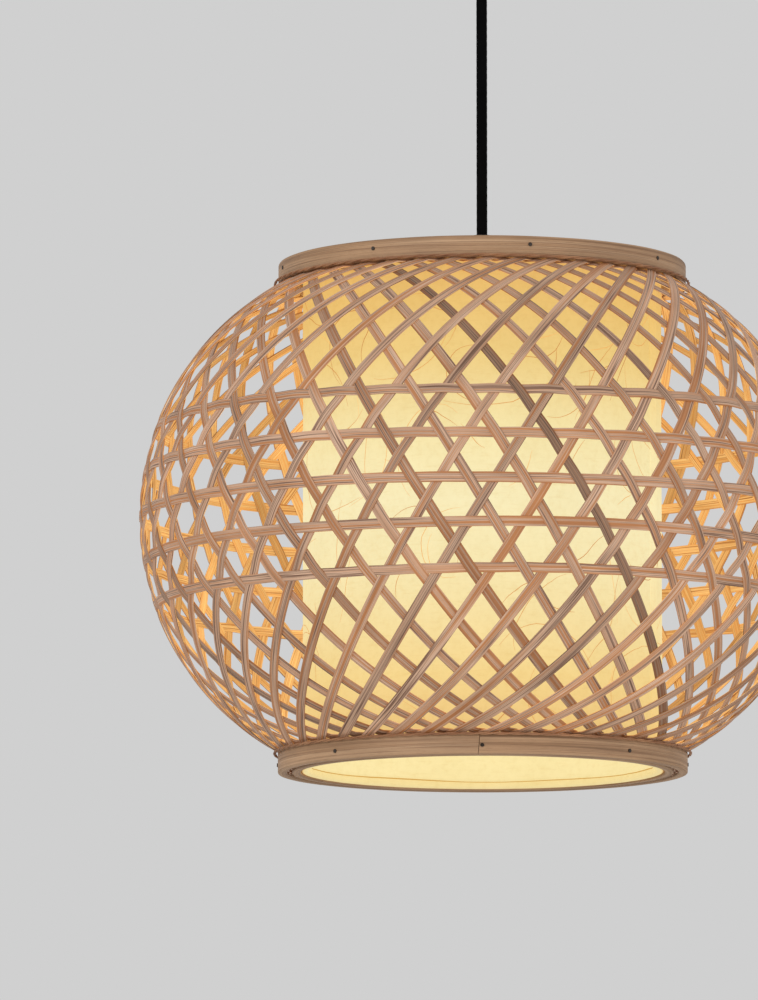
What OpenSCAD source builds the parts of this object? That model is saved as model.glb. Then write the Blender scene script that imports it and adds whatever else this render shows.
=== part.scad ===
// Woven bamboo pendant light: lantern shade round a diffuser, lampholder and bulb, cord and ceiling fitting.
// Origin on the ceiling plane at the cord's axis, +Z up, so the whole light hangs below zero.

/* [Suspension] */
// Drop from the ceiling to the middle of the shade
drop = 350; // [340:5:700]
// Diameter of the cord over its woven sleeve
cord_d = 6.3; // [5:0.1:7]

/* [Shade] */
// Radius of the weave at its widest
shade_r = 200; // [165:1:245]
// Height of the shade over both rims
shade_h = 297; // [270:1:330]
// Number of splints that lean each way
splint_count = 40; // [32:1:48]
// Width of one splint
splint_w = 6; // [4:0.5:7]
// Thickness of one splint
splint_t = 0.9; // [0.6:0.1:1.2]
// Lean of the splints from upright, in degrees
splint_lean = 31.5; // [28:0.5:34]

/* [Rims] */
// Outer radius of both rims
rim_r = 118.6; // [112:0.2:125]
// Height of the rims
rim_h = 12.3; // [10:0.1:16]
// Thickness of the outer band of a rim
outer_band_t = 5.4; // [4:0.1:7]
// Thickness of the inner band of a rim
inner_band_t = 5; // [4:0.1:6]
// Nails round each rim
nail_count = 8; // [4:4:8]

/* [Diffuser] */
// Thickness of the diffuser sheet
sheet_t = 0.6; // [0.4:0.1:1]
// Width of the glued seam
seam_w = 12; // [8:1:20]
// Diameter of the wire in its two hems
hem_wire_d = 2.4; // [1.6:0.1:3]

/* [Lampholder and bulb] */
// Outer radius of the lampholder
holder_r = 22; // [20:0.5:24]
// Diameter of the bulb
bulb_d = 70; // [60:1:80]
// Length of the bulb with its screw cap
bulb_h = 132; // [120:1:150]

/* [Ceiling fitting] */
// Outer radius of the canopy
canopy_r = 52; // [48:1:65]
// Height of the canopy
canopy_h = 26; // [25:1:40]
// Distance between the two ceiling screw holes
fixing_pitch = 68; // [60:1:76]
// Radius of the ceiling screw holes
fixing_hole_r = 2.25; // [2:0.05:2.75]

/* [Hidden] */
$fn = 96;

// Clearances
fit_gap = 0.3;
layer_gap = 0.4;

// Weave: three layers on one bulging profile, splints inside and out, hoops between them
layer_step = splint_t + layer_gap;
weave_t = 3 * splint_t + 2 * layer_gap;
rim_base = shade_h / 2 - rim_h;
turn_r = rim_r + 0.6;
turn_h = rim_base - 0.11;
turn_in = shade_r - turn_r;
belly_r = (turn_in * turn_in + turn_h * turn_h) / (2 * turn_in);
belly_offset = shade_r - belly_r;
middle_r = belly_r - weave_t / 2;
splint_step = 360 / splint_count;
half_step = splint_step / 2;
right_start = 1.5;
left_start = right_start + half_step;
hoop_middle = 3;
straight_turn = 8;
side_steps = ceil(acos((turn_r - belly_offset) / middle_r) / straight_turn);

// Rims: the splint ends stand between the two bands
outer_band_in = rim_r - outer_band_t;
slot_w = 2 * splint_t + layer_gap + 2 * fit_gap;
inner_band_out = outer_band_in - slot_w;
rim_in = inner_band_out - inner_band_t;
splint_end = shade_h / 2 - 1;
inner_end_r = inner_band_out + fit_gap + splint_t / 2;
nail_r = 0.75;
nail_head_r = 1.1;
nail_head_t = 0.5;
nail_z = shade_h / 2 - 5;
nail_lean = asin(nail_z * tan(splint_lean) / (outer_band_in - slot_w / 2));
binding_d = 2.4;

// Diffuser
diffuser_r = rim_in - sheet_t - 0.5;
diffuser_half = shade_h / 2 - 1;
seam_turn = 71;

// Cross bar
bar_t = 1.5;
bar_w = 16;
bar_top = shade_h / 2 - 5.5;
bar_hub_r = 26;
bar_end = diffuser_r - sheet_t - 0.1;
bar_tab_h = 9;
bar_screw_r = 1.5;
bar_screw_head_r = 2.6;
bar_screw_z = bar_top - bar_t - 2.8;

// Threaded tube and cord grip
cord_r = cord_d / 2;
nipple_r = 5;
nipple_bore_r = cord_r + fit_gap;
nipple_down = 11;
nipple_up = 9;
nut_r = 8.1;
nut_h = 3.5;
grip_r = 8;
grip_h = 19.5;
grip_top = bar_top + nut_h + grip_h;
cord_end = bar_top - bar_t - nipple_down - 0.5;

// Lampholder
holder_top = bar_top - bar_t;
holder_wall = 1.8;
cap_h = 32;
holder_split = holder_top - cap_h;
insert_r = holder_r - 2 * holder_wall - 0.4;
insert_h = 8;
insert_top = holder_split - 1;
shell_r = 14.2;
shell_t = 0.7;
shell_h = 26;
lead_r = 1;
lead_out = 9;

// Bulb with a 27 mm screw cap, hanging tip up
bulb_cap_r = 13.1;
bulb_cap_h = 21;
thread_pitch = 3.629;
thread_count = 5;
tip_r = 3;
tip_h = 2;
insulator_h = 4;
tongue_t = 0.6;
tongue_z = insert_top - insert_h - 1.6;
bulb_top = tongue_z - tongue_t - fit_gap;
bulb_cap_top = bulb_top - tip_h - insulator_h;
bulb_cap_end = bulb_cap_top - bulb_cap_h;
holder_bottom = bulb_cap_end + 1.5;
bulb_r = bulb_d / 2;
bulb_bottom = bulb_top - bulb_h;
globe_z = bulb_bottom + bulb_r;
globe_joint = globe_z + 6;
globe_joint_r = sqrt(bulb_r * bulb_r - 36);
bulb_wall = 1.2;
housing_neck_r = 15;

// Ceiling fitting
canopy_wall = 1.2;
plate_t = 2;
plate_w = 24;
tab_in = canopy_r - canopy_wall - 5;
tab_h = 12;
side_screw_z = -9;
side_screw_r = 2;
canopy_round = 5;
gland_r = 8;
gland_h = 14;
gland_bottom = -canopy_h - gland_h;
bend_z = gland_bottom + 7;
bend_ball_r = cord_r - 0.15;
mouth_r = 6.9;
gland_top = -canopy_h + 12;
tail_top = gland_top + 3;
block_x = 9;
block_l = 19;
block_w = 16;
block_h = 11;
lead_bend_r = 4;

// Route of the cord, from the cord grip up to the gland, in heights over the middle of the shade
cord_sides = 12;
cord_route = [
    [0, 0, cord_end], [0, 0, 142], [0, 0, 154], [0, 0, 166], [0, 0, 178], [0, 0, 190], [0, 0, 202],
    [0, 0, 214], [0, 0, 226], [0, 0, 238], [0, 0, 250], [0, 0, 262], [0, 0, 274], [0, 0, 286],
    [0, 0, 298], [0, 0, drop + bend_z - cord_r - 0.15]
];

module lower() {
    translate([0, 0, -drop]) children();
}

module tube(outer, inner, bottom, top) {
    translate([0, 0, bottom]) difference() {
        cylinder(r = outer, h = top - bottom);
        translate([0, 0, -1]) cylinder(r = inner, h = top - bottom + 2);
    }
}

module along_x(from, to, radius) {
    translate([from, 0, 0]) rotate([0, 90, 0]) cylinder(r = radius, h = to - from);
}

module torus(ring_r, section_r) {
    rotate_extrude() translate([ring_r, 0]) circle(r = section_r);
}

// A round tube with many flat sides, swept along upright points
module upright_sweep(points, radius, sides) {
    last = len(points) - 1;
    corners = [for (p = points) for (i = [0 : sides - 1])
        [p[0] + radius * cos(360 * i / sides), p[1] + radius * sin(360 * i / sides), p[2]]];
    walls = [for (k = [0 : last - 1]) for (i = [0 : sides - 1])
        [k * sides + i, (k + 1) * sides + i, (k + 1) * sides + (i + 1) % sides, k * sides + (i + 1) % sides]];
    bottom = [[for (i = [0 : sides - 1]) i]];
    top = [[for (i = [sides - 1 : -1 : 0]) last * sides + i]];
    polyhedron(points = corners, faces = concat(bottom, walls, top));
}

// ---- Ceiling fitting ----

module ceiling_plate() {
    color("silver") difference() {
        union() {
            translate([-tab_in - plate_t, -plate_w / 2, -plate_t])
                cube([2 * (tab_in + plate_t), plate_w, plate_t]);
            for (side = [0, 1]) mirror([side, 0, 0])
                translate([tab_in, -plate_w / 2, -plate_t - tab_h]) cube([plate_t, plate_w, tab_h + plate_t]);
        }
        for (x = [-fixing_pitch / 2, fixing_pitch / 2])
            translate([x, 0, -plate_t - 1]) cylinder(r = fixing_hole_r, h = plate_t + 2);
        translate([0, 0, side_screw_z]) along_x(-canopy_r, canopy_r, side_screw_r);
    }
}

module canopy_outline(inset) {
    outer = canopy_r - inset;
    round = canopy_round - inset;
    union() {
        translate([0, -canopy_h + inset]) square([outer - round, canopy_h]);
        translate([0, -canopy_h + inset + round]) square([outer, canopy_h - round]);
        translate([outer - round, -canopy_h + inset + round]) circle(r = round);
    }
}

module canopy() {
    color("black") difference() {
        rotate_extrude() difference() {
            intersection() {
                canopy_outline(0);
                translate([0, -canopy_h - 1]) square([canopy_r + 1, canopy_h + 1 - fit_gap]);
            }
            intersection() {
                canopy_outline(canopy_wall);
                translate([0, -canopy_h]) square([canopy_r, canopy_h + 1]);
            }
        }
        translate([0, 0, -canopy_h - 1]) cylinder(r = nipple_r, h = canopy_wall + 2);
        translate([0, 0, side_screw_z]) along_x(-canopy_r - 1, canopy_r + 1, side_screw_r);
    }
}

module canopy_screws() {
    color("dimgray") for (side = [0, 1]) mirror([side, 0, 0]) translate([0, 0, side_screw_z]) {
        along_x(tab_in - 1, canopy_r + 0.2, side_screw_r);
        along_x(canopy_r + 0.2, canopy_r + 3.7, 4);
    }
}

module canopy_gland() {
    color("black") difference() {
        union() {
            translate([0, 0, gland_bottom]) cylinder(r = gland_r, h = gland_h);
            translate([0, 0, -canopy_h]) cylinder(r = nipple_r, h = gland_top + canopy_h);
        }
        translate([0, 0, bend_z]) cylinder(r = cord_r, h = gland_top - bend_z + 1);
        translate([0, 0, bend_z - 0.5]) cylinder(r = cord_r + 0.6, h = cord_r + 0.65);
        translate([0, 0, gland_bottom]) cylinder(r1 = mouth_r, r2 = cord_r + 0.6, h = bend_z - gland_bottom);
        translate([0, 0, -canopy_h - 1.9]) along_x(0, gland_r + 1, 1.3);
    }
}

module gland_nut() {
    color("gray") translate([0, 0, -canopy_h + canopy_wall]) difference() {
        cylinder(r = nut_r, h = nut_h, $fn = 6);
        translate([0, 0, -1]) cylinder(r = nipple_r, h = nut_h + 2);
    }
}

module gland_screw() {
    color("white") translate([0, 0, -canopy_h - 1.9]) {
        along_x(cord_r + 0.1, gland_r + 0.2, 1.3);
        along_x(gland_r + 0.2, gland_r + 2, 1.8);
    }
}

module terminal_block() {
    color("white") difference() {
        translate([block_x, -block_w / 2, -plate_t - block_h]) cube([block_l, block_w, block_h]);
        for (y = [-4, 4]) {
            translate([block_x + block_l / 2, y, -plate_t - block_h - 1]) cylinder(r = 1.6, h = 6);
        }
    }
}

module terminal_screws() {
    color("gold") for (y = [-4, 4])
        translate([block_x + block_l / 2, y, -plate_t - block_h]) cylinder(r = 1.6, h = 5);
}

// A conductor that turns from upright to level and meets the terminal block
module lead(y) {
    start = tail_top;
    translate([0, y, 0]) {
        translate([lead_bend_r, 0, start]) rotate([90, 0, 0])
            rotate_extrude(angle = 90, start = 90) translate([lead_bend_r, 0]) circle(r = lead_r);
        translate([0, 0, start + lead_bend_r]) along_x(lead_bend_r, block_x, lead_r);
    }
}

module lead_live() {
    color("saddlebrown") lead(1.6);
}

module lead_neutral() {
    color("steelblue") lead(-1.6);
}

module cord_tail() {
    bottom = bend_z + cord_r + 0.15;
    steps = 5;
    color("black") upright_sweep([for (k = [0 : steps]) [0, 0, bottom + k * (tail_top - bottom) / steps]],
        cord_r, cord_sides);
}

module cord_bend() {
    color("black") translate([0, 0, bend_z]) sphere(r = bend_ball_r);
}

// ---- Cord and its grip on the shade ----

module cord() {
    color("black") lower() upright_sweep(cord_route, cord_r, cord_sides);
}

module cord_grip() {
    bottom = bar_top + nut_h;
    shoulder = grip_top - grip_r + 2.4;
    color("black") lower() difference() {
        rotate_extrude() union() {
            translate([0, bottom]) square([grip_r, shoulder - bottom]);
            intersection() {
                translate([0, shoulder]) circle(r = grip_r);
                translate([0, shoulder]) square([grip_r, grip_r - 2.4]);
            }
        }
        translate([0, 0, bottom - 1]) cylinder(r = cord_r, h = grip_h + 2);
        translate([0, 0, bottom - 1]) cylinder(r = nipple_r, h = nipple_up - nut_h + 1);
    }
}

module grip_nut() {
    color("gold") lower() translate([0, 0, bar_top]) difference() {
        cylinder(r = nut_r, h = nut_h, $fn = 6);
        translate([0, 0, -1]) cylinder(r = nipple_r, h = nut_h + 2);
    }
}

module nipple() {
    color("gold") lower() tube(nipple_r, nipple_bore_r, bar_top - bar_t - nipple_down, bar_top + nipple_up);
}

module bar_screw_holes(radius) {
    translate([0, 0, bar_screw_z]) along_x(-rim_r, rim_r, radius);
}

module cross_bar() {
    color("silver") lower() difference() {
        union() {
            translate([0, 0, bar_top - bar_t]) cylinder(r = bar_hub_r, h = bar_t);
            translate([-bar_end, -bar_w / 2, bar_top - bar_t]) cube([2 * bar_end, bar_w, bar_t]);
            intersection() {
                for (side = [0, 1]) mirror([side, 0, 0])
                    translate([bar_end - bar_t - 1, -bar_w / 2, bar_top - bar_tab_h])
                        cube([bar_t + 1, bar_w, bar_tab_h]);
                tube(bar_end, bar_end - bar_t, bar_top - bar_tab_h - 1, bar_top + 1);
            }
        }
        translate([0, 0, bar_top - bar_t - 1]) cylinder(r = nipple_r, h = bar_t + 2);
        bar_screw_holes(bar_screw_r);
        difference() {
            translate([0, 0, bar_top - bar_t - 1]) cylinder(r = bar_end + 5, h = bar_t + 2);
            translate([0, 0, bar_top - bar_t - 2]) cylinder(r = bar_end, h = bar_t + 4);
        }
    }
}

module cross_bar_screws() {
    head = bar_end - bar_t - 0.3;
    color("silver") lower() for (side = [0, 1]) mirror([side, 0, 0]) translate([0, 0, bar_screw_z]) {
        along_x(head, rim_in + inner_band_t - 1, bar_screw_r);
        along_x(head - 2, head, bar_screw_head_r);
    }
}

// ---- Lampholder ----

module holder_cap() {
    round = 8;
    color("black") lower() difference() {
        rotate_extrude() difference() {
            union() {
                translate([0, holder_split]) square([holder_r, cap_h - round]);
                translate([0, holder_split]) square([holder_r - round, cap_h]);
                translate([holder_r - round, holder_top - round]) circle(r = round);
            }
            translate([0, holder_split - 1])
                square([holder_r - holder_wall, cap_h - round + 1]);
            translate([0, holder_split - 1]) square([holder_r - round, cap_h + 1 - 2.5]);
        }
        translate([0, 0, holder_top - 4]) cylinder(r = nipple_r, h = 5);
    }
}

module holder_leads() {
    top = cord_end - 0.2;
    rise = top - insert_top;
    run = lead_out - 1.4;
    color("saddlebrown") lower() for (side = [0, 1]) mirror([side, 0, 0])
        translate([1.4, 0, top]) rotate([0, 180 - atan(run / rise), 0])
            cylinder(r = lead_r, h = sqrt(run * run + rise * rise) - 0.6);
}

module holder_skirt() {
    color("black") lower() difference() {
        union() {
            tube(holder_r, insert_r + 0.2, holder_bottom, holder_split);
            tube(insert_r + 0.2, shell_r + 0.9, holder_bottom, insert_top - insert_h);
            tube(holder_r - holder_wall, insert_r + 0.2, holder_split - 0.5, holder_split + 5);
        }
        for (k = [0 : 2]) translate([0, 0, holder_bottom + 6 + 4 * k]) torus(holder_r + 0.4, 1);
    }
}

module holder_insert() {
    color("white") lower() difference() {
        translate([0, 0, insert_top - insert_h]) cylinder(r = insert_r, h = insert_h);
        for (x = [-lead_out, lead_out]) translate([x, 0, insert_top - 4]) cylinder(r = 2, h = 5);
    }
}

module screw_shell() {
    top = insert_top - insert_h;
    color("gold") lower() difference() {
        tube(shell_r, shell_r - shell_t, top - shell_h, top);
        translate([0, 0, top - 3.5]) tube(shell_r + 1, shell_r - 0.3, 0, 1);
    }
}

module contact_tongue() {
    color("gold") lower() {
        translate([-3, -9, tongue_z - tongue_t]) cube([6, 14, tongue_t]);
        translate([-3, -9, tongue_z - 0.1]) cube([6, 1.2, 1.2]);
    }
}

// ---- Bulb ----

module bulb_tip() {
    color("silver") lower() translate([0, 0, bulb_top - tip_h])
        cylinder(r1 = tip_r + 1, r2 = tip_r, h = tip_h);
}

module bulb_insulator() {
    color("black") lower() translate([0, 0, bulb_cap_top])
        cylinder(r1 = bulb_cap_r - 2, r2 = tip_r + 1, h = insulator_h);
}

module bulb_cap() {
    root_r = bulb_cap_r - 0.9;
    color("silver") lower() difference() {
        union() {
            translate([0, 0, bulb_cap_end]) cylinder(r = root_r, h = bulb_cap_h);
            for (k = [0 : thread_count - 1])
                translate([0, 0, bulb_cap_end + 3.5 + thread_pitch * k]) torus(root_r - 0.3, 1.2);
        }
        translate([0, 0, bulb_cap_end - 1]) cylinder(r = root_r - 1.2, h = bulb_cap_h);
    }
}

module bulb_housing() {
    color("white") lower() difference() {
        translate([0, 0, globe_joint])
            cylinder(r1 = globe_joint_r, r2 = housing_neck_r, h = bulb_cap_end - globe_joint);
        translate([0, 0, globe_joint - 0.01])
            cylinder(r1 = globe_joint_r - bulb_wall, r2 = housing_neck_r - bulb_wall,
                h = bulb_cap_end - globe_joint - 2);
        translate([0, 0, globe_joint + 1]) cylinder(r = 6, h = bulb_cap_end - globe_joint);
    }
}

module bulb_board() {
    color("whitesmoke") lower() translate([0, 0, globe_joint])
        cylinder(r = globe_joint_r - bulb_wall - 0.5, h = 1.5);
}

module bulb_dome() {
    color("lightyellow") lower() difference() {
        translate([0, 0, globe_z]) sphere(r = bulb_r);
        translate([0, 0, globe_z]) sphere(r = bulb_r - bulb_wall);
        translate([-bulb_d, -bulb_d, globe_joint]) cube([2 * bulb_d, 2 * bulb_d, bulb_d]);
    }
}

// ---- Rims ----

// Nails go through the middle of the widest space between the splints that stand in the rim
function nail_turn(side) =
    let (right = right_start + side * nail_lean,
        apart = left_start - side * nail_lean - right,
        onward = apart - splint_step * floor(apart / splint_step))
    right + (onward > half_step ? onward : onward + splint_step) / 2;

module nail_places(side) {
    for (k = [0 : nail_count - 1])
        rotate([0, 0, nail_turn(side) + splint_step * round(splint_count * k / nail_count)])
            translate([0, 0, side * nail_z]) children();
}

module band(outer, inner, side) {
    low = side > 0 ? rim_base : -shade_h / 2;
    tube(outer, inner, low, low + rim_h);
}

module outer_band(side) {
    color("burlywood") lower() difference() {
        band(rim_r, outer_band_in, side);
        nail_places(side) along_x(outer_band_in - 1, rim_r + 1, nail_r);
    }
}

module inner_band(side) {
    color("tan") lower() difference() {
        band(inner_band_out, rim_in, side);
        nail_places(side) along_x(rim_in + 1.5, inner_band_out + 1, nail_r);
        if (side > 0) bar_screw_holes(bar_screw_r);
    }
}

module nails(side) {
    color("dimgray") lower() nail_places(side) {
        along_x(rim_in + 1.5, rim_r, nail_r);
        along_x(rim_r, rim_r + nail_head_t, nail_head_r);
    }
}

module top_outer_band() { outer_band(1); }
module bottom_outer_band() { outer_band(-1); }
module top_inner_band() { inner_band(1); }
module bottom_inner_band() { inner_band(-1); }
module top_nails() { nails(1); }
module bottom_nails() { nails(-1); }

// ---- Weave ----

// Stations of one splint layer from the middle up, each [r, z, normal r, normal z, level]: the bulging
// side, a turn under the outer band, and the end that stands in the rim. A level one keeps its width flat
function upper_stations(level, end_r) =
    let (layer_r = middle_r + level * layer_step,
        last = acos((turn_r - belly_offset) / layer_r),
        turn_z = layer_r * sin(last),
        miter = 1 + sin(last))
    concat(
        [for (i = [0 : side_steps - 1]) let (a = last * i / side_steps)
            [belly_offset + layer_r * cos(a), layer_r * sin(a), cos(a), sin(a), false]],
        [[turn_r, turn_z, cos(last) / miter, 1, true],
            [end_r, turn_z, 1, 1, true],
            [end_r, (turn_z + splint_end) / 2, 1, 0, true],
            [end_r, splint_end, 1, 0, true]]
    );

function lower_stations(upper) = [for (i = [len(upper) - 1 : -1 : 1])
    [upper[i][0], -upper[i][1], upper[i][2], -upper[i][3], upper[i][4]]];

function splint_stations(level, end_r) =
    let (upper = upper_stations(level, end_r)) concat(lower_stations(upper), upper);

// A splint keeps to a leaning plane through the middle of the shade
function splint_turn(s, lean) = asin(s[1] * tan(lean) / s[0]);
function station_point(s, turn) = [s[0] * cos(turn), s[0] * sin(turn), s[1]];
function station_normal(s, turn) = [s[2] * cos(turn), s[2] * sin(turn), s[3]];
function unit(v) = v / norm(v);

// Four corners of a splint's section at each station
function splint_corners(stations, lean, start) =
    let (last = len(stations) - 1,
        turns = [for (s = stations) start + splint_turn(s, lean)],
        middles = [for (i = [0 : last]) station_point(stations[i], turns[i])])
    [for (i = [0 : last])
        let (normal = station_normal(stations[i], turns[i]),
            along = middles[min(i + 1, last)] - middles[max(i - 1, 0)],
            level_way = [-sin(turns[i]), cos(turns[i]), 0],
            across = stations[i][4] ? level_way : unit(cross(along, normal)))
        for (c = [[1, 1], [-1, 1], [-1, -1], [1, -1]])
            middles[i] + across * c[0] * splint_w / 2 + normal * c[1] * splint_t / 2];

// All the splints that lean one way
module splint_family(level, end_r, lean, start) {
    stations = splint_stations(level, end_r);
    rings = len(stations);
    corners = [for (k = [0 : splint_count - 1])
        each splint_corners(stations, lean, start + k * splint_step)];
    faces = [for (k = [0 : splint_count - 1]) let (first = 4 * rings * k, end = first + 4 * (rings - 1))
        each concat(
            [[first + 3, first + 2, first + 1, first], [end, end + 1, end + 2, end + 3]],
            [for (i = [0 : rings - 2]) for (j = [0 : 3]) let (at = first + 4 * i, next = (j + 1) % 4)
                each [[at + next, at + 4 + next, at + 4 + j], [at + next, at + 4 + j, at + j]]]
        )];
    polyhedron(points = corners, faces = faces);
}

module splints_right() {
    color("tan") lower() splint_family(1, inner_end_r + layer_step, splint_lean, right_start);
}

module splints_left() {
    color("peru") lower() splint_family(-1, inner_end_r, -splint_lean, left_start);
}

// Height where a splint has gone round by the given turn
function splint_height(turn) = shade_r * sin(turn) / tan(splint_lean);

module hoop(number) {
    z = splint_height(half_step * (number - hoop_middle));
    color("burlywood") lower() rotate_extrude() intersection() {
        translate([belly_offset, 0]) difference() {
            circle(r = middle_r + splint_t / 2);
            circle(r = middle_r - splint_t / 2);
        }
        translate([rim_r, z - splint_w / 2]) square([shade_r, splint_w]);
    }
}

module hoop_1() { hoop(1); }
module hoop_2() { hoop(2); }
module hoop_3() { hoop(3); }
module hoop_4() { hoop(4); }
module hoop_5() { hoop(5); }

module binding(side) {
    away = belly_r + binding_d / 2 + 0.2;
    ring = rim_r + binding_d / 2 + 0.6;
    z = sqrt(away * away - pow(ring - belly_offset, 2));
    color("peru") lower() translate([0, 0, side * z]) torus(ring, binding_d / 2);
}

module top_binding() { binding(1); }
module bottom_binding() { binding(-1); }

// ---- Diffuser ----

module diffuser() {
    color("lemonchiffon") lower() difference() {
        tube(diffuser_r, diffuser_r - sheet_t, -diffuser_half, diffuser_half);
        bar_screw_holes(bar_screw_r);
    }
}

module diffuser_seam() {
    width = 2 * asin(seam_w / 2 / diffuser_r);
    color("khaki") lower() rotate([0, 0, seam_turn - 90 - width / 2]) translate([0, 0, -diffuser_half])
        rotate_extrude(angle = width) translate([diffuser_r, 0]) square([sheet_t * 0.6, 2 * diffuser_half]);
}

module hem_wire(side) {
    color("silver") lower() translate([0, 0, side * (diffuser_half - hem_wire_d / 2)])
        torus(diffuser_r - sheet_t - hem_wire_d / 2 - 0.05, hem_wire_d / 2);
}

module top_hem_wire() { hem_wire(1); }
module bottom_hem_wire() { hem_wire(-1); }

ceiling_plate();
canopy();
canopy_screws();
canopy_gland();
gland_nut();
gland_screw();
terminal_block();
terminal_screws();
lead_live();
lead_neutral();
cord_tail();
cord_bend();
cord();
cord_grip();
grip_nut();
nipple();
cross_bar();
cross_bar_screws();
holder_cap();
holder_leads();
holder_skirt();
holder_insert();
screw_shell();
contact_tongue();
bulb_tip();
bulb_insulator();
bulb_cap();
bulb_housing();
bulb_board();
bulb_dome();
top_outer_band();
top_inner_band();
bottom_outer_band();
bottom_inner_band();
top_nails();
bottom_nails();
splints_right();
splints_left();
hoop_1();
hoop_2();
hoop_3();
hoop_4();
hoop_5();
top_binding();
bottom_binding();
diffuser();
diffuser_seam();
top_hem_wire();
bottom_hem_wire();
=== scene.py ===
import math
import random

import bpy
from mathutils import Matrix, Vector


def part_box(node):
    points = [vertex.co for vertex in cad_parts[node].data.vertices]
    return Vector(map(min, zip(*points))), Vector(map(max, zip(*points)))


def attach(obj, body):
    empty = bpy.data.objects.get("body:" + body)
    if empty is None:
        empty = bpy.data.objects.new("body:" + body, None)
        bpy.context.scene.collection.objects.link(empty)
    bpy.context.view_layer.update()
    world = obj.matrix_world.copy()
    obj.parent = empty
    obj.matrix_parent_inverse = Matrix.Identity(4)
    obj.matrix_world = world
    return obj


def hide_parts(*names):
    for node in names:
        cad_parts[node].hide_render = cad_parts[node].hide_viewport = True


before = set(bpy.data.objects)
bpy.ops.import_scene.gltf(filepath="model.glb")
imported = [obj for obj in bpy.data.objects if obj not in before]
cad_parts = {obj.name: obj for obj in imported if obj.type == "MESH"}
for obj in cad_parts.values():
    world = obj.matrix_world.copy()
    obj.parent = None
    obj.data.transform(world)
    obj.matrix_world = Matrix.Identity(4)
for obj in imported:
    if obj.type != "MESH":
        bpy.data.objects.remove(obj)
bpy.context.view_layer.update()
print("frame loaded:", len(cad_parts), "nodes")


# ---- camera, a long lens a little below the lamp, looking up at it
cameraView = {"target": (-0.060, 0, -0.339), "back": 5.458, "below": 0.680, "lens": 341}

cameraData = bpy.data.cameras.new("camera")
cameraData.lens = cameraView["lens"]
cameraData.sensor_width = 36
cameraData.clip_end = 60
camera = bpy.data.objects.new("camera", cameraData)
bpy.context.scene.collection.objects.link(camera)
target = Vector(cameraView["target"])
camera.location = target + Vector((0, -cameraView["back"], -cameraView["below"]))
camera.rotation_euler = (target - camera.location).to_track_quat("-Z", "Y").to_euler()
bpy.context.scene.camera = camera


# ---- small helpers for materials
def fromScreen(red, green, blue):
    # a colour as a screen shows it, 0 to 255, turned into the linear one that a shader wants
    def linear(c):
        c = c / 255
        return c / 12.92 if c < 0.04045 else ((c + 0.055) / 1.055) ** 2.4

    return (linear(red), linear(green), linear(blue), 1)


def newMaterial(name):
    material = bpy.data.materials.new(name)
    material.use_nodes = True
    return material, material.node_tree, material.node_tree.nodes["Principled BSDF"]


def addNode(tree, kind, **values):
    node = tree.nodes.new("ShaderNode" + kind)
    for key, value in values.items():
        if hasattr(node, key):
            setattr(node, key, value)
        else:
            node.inputs[key.replace("_", " ")].default_value = value
    return node


def link(tree, start, end):
    tree.links.new(start, end)


def scaledPlace(tree, source, scale):
    # texture coordinates stretched by scale: "UV" or "Object"
    place = addNode(tree, "TexCoord")
    mapping = addNode(tree, "Mapping", Scale=scale)
    link(tree, place.outputs[source], mapping.inputs["Vector"])
    return mapping.outputs["Vector"]


def addNoise(tree, vector, scale=1.0, detail=4.0, roughness=0.55):
    noise = addNode(tree, "TexNoise", Scale=scale, Detail=detail, Roughness=roughness)
    link(tree, vector, noise.inputs["Vector"])
    return noise.outputs["Fac"]


def addRamp(tree, value, stops):
    ramp = addNode(tree, "ValToRGB")
    points = ramp.color_ramp.elements
    while len(points) < len(stops):
        points.new(0.5)
    for point, (position, colour) in zip(points, stops):
        point.position = position
        point.color = colour
    link(tree, value, ramp.inputs["Fac"])
    return ramp.outputs["Color"]


def addMix(tree, factor, first, second, blend="MIX"):
    mix = addNode(tree, "Mix", data_type="RGBA", blend_type=blend)
    for socket, value in ((mix.inputs[0], factor), (mix.inputs[6], first), (mix.inputs[7], second)):
        if isinstance(value, (tuple, float, int)):
            socket.default_value = value
        else:
            link(tree, value, socket)
    return mix.outputs[2]


def addBump(tree, shader, height, strength, distance):
    bump = addNode(tree, "Bump", Strength=strength, Distance=distance)
    link(tree, height, bump.inputs["Height"])
    link(tree, bump.outputs["Normal"], shader.inputs["Normal"])


def addRoughness(tree, shader, value, low, high):
    spread = addNode(tree, "MapRange")
    spread.inputs["To Min"].default_value = low
    spread.inputs["To Max"].default_value = high
    link(tree, value, spread.inputs["Value"])
    link(tree, spread.outputs["Result"], shader.inputs["Roughness"])


# ---- small helpers for meshes
sharpAngle = 40  # degrees between two sides from which the edge between them is drawn sharp


def newMaker():
    return {"points": [], "faces": [], "uvs": [], "finish": [], "tones": []}


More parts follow.
